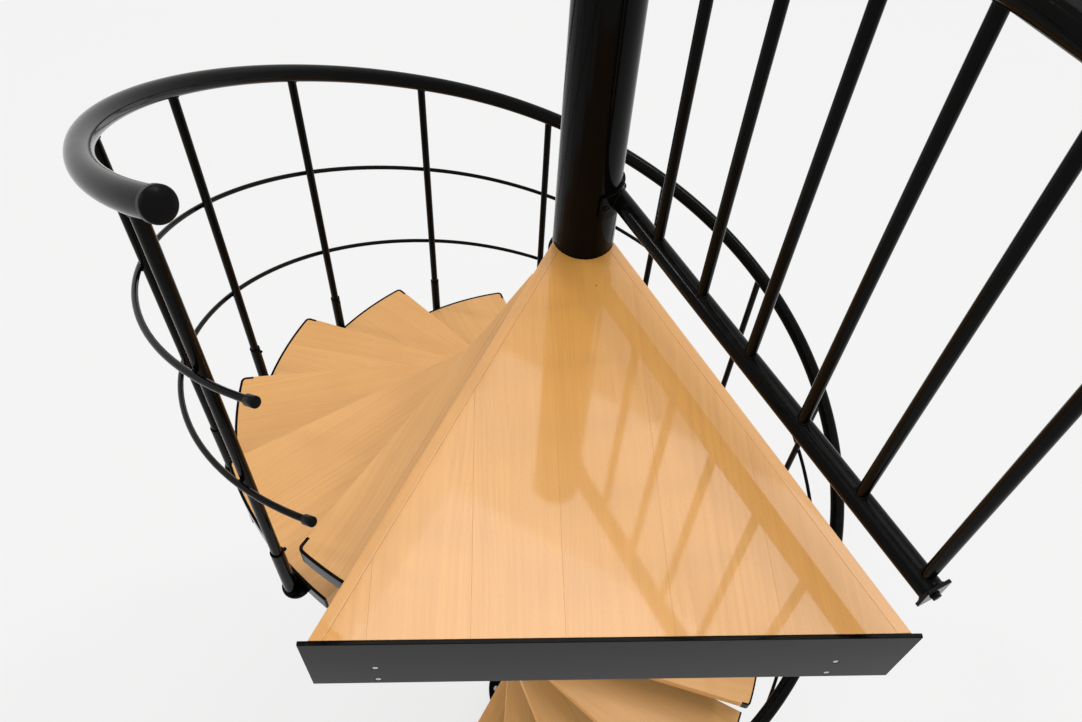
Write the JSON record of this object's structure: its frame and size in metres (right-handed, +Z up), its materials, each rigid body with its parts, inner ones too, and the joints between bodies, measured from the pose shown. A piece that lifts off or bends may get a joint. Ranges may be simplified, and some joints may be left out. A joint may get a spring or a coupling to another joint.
{
  "type": "spiral staircase",
  "caption": "Spiral staircase with a central steel pole, wedge treads of timber in steel trays, a wedge landing, a winding handrail and a straight guard.",
  "frame": {"origin": "on the pole's axis, at the underside of the base plate, on the lower floor", "axes": "+Z up along the pole, -Y along the landing's centre line toward the upper floor, +X to the right of somebody who looks from the landing toward the pole"},
  "size_m": [1.7962, 1.8011, 4.102],
  "materials": {
    "black_steel": "gloss",
    "black_cap": "gloss",
    "tread_timber": "satin lacquer",
    "landing_timber": "gloss lacquer",
    "landing_strip": "gloss lacquer"
  },
  "bodies": {
    "root": {"base_plate": "black_steel", "centre_pole": "black_steel", "pole_cap": "black_steel", "tread_tray_01": "black_steel", "tread_tray_02": "black_steel", "tread_tray_03": "black_steel", "tread_tray_04": "black_steel", "tread_tray_05": "black_steel", "tread_tray_06": "black_steel", "tread_tray_07": "black_steel", "tread_tray_08": "black_steel", "tread_tray_09": "black_steel", "tread_tray_10": "black_steel", "tread_tray_11": "black_steel", "tread_tray_12": "black_steel", "tread_tray_13": "black_steel", "tread_tray_14": "black_steel", "tread_tray_15": "black_steel", "tread_board_01": "tread_timber", "tread_board_02": "tread_timber", "tread_board_03": "tread_timber", "tread_board_04": "tread_timber", "tread_board_05": "tread_timber", "tread_board_06": "tread_timber", "tread_board_07": "tread_timber", "tread_board_08": "tread_timber", "tread_board_09": "tread_timber", "tread_board_10": "tread_timber", "tread_board_11": "tread_timber", "tread_board_12": "tread_timber", "tread_board_13": "tread_timber", "tread_board_14": "tread_timber", "tread_board_15": "tread_timber", "landing_frame": "black_steel", "landing_deck": "landing_timber", "landing_lipping": "landing_strip", "landing_threshold": "black_steel", "balusters": "black_steel", "baluster_sleeves": "black_steel", "handrail": "black_steel", "handrail_caps": "black_cap", "mid_rail_high": "black_steel", "mid_rail_low": "black_steel", "mid_rail_caps": "black_cap", "guard_saddles": "black_steel", "guard_bottom_rail": "black_steel", "guard_top_rail": "black_steel", "guard_balusters": "black_steel", "guard_end_plates": "black_steel"}
  },
  "joints": []
}
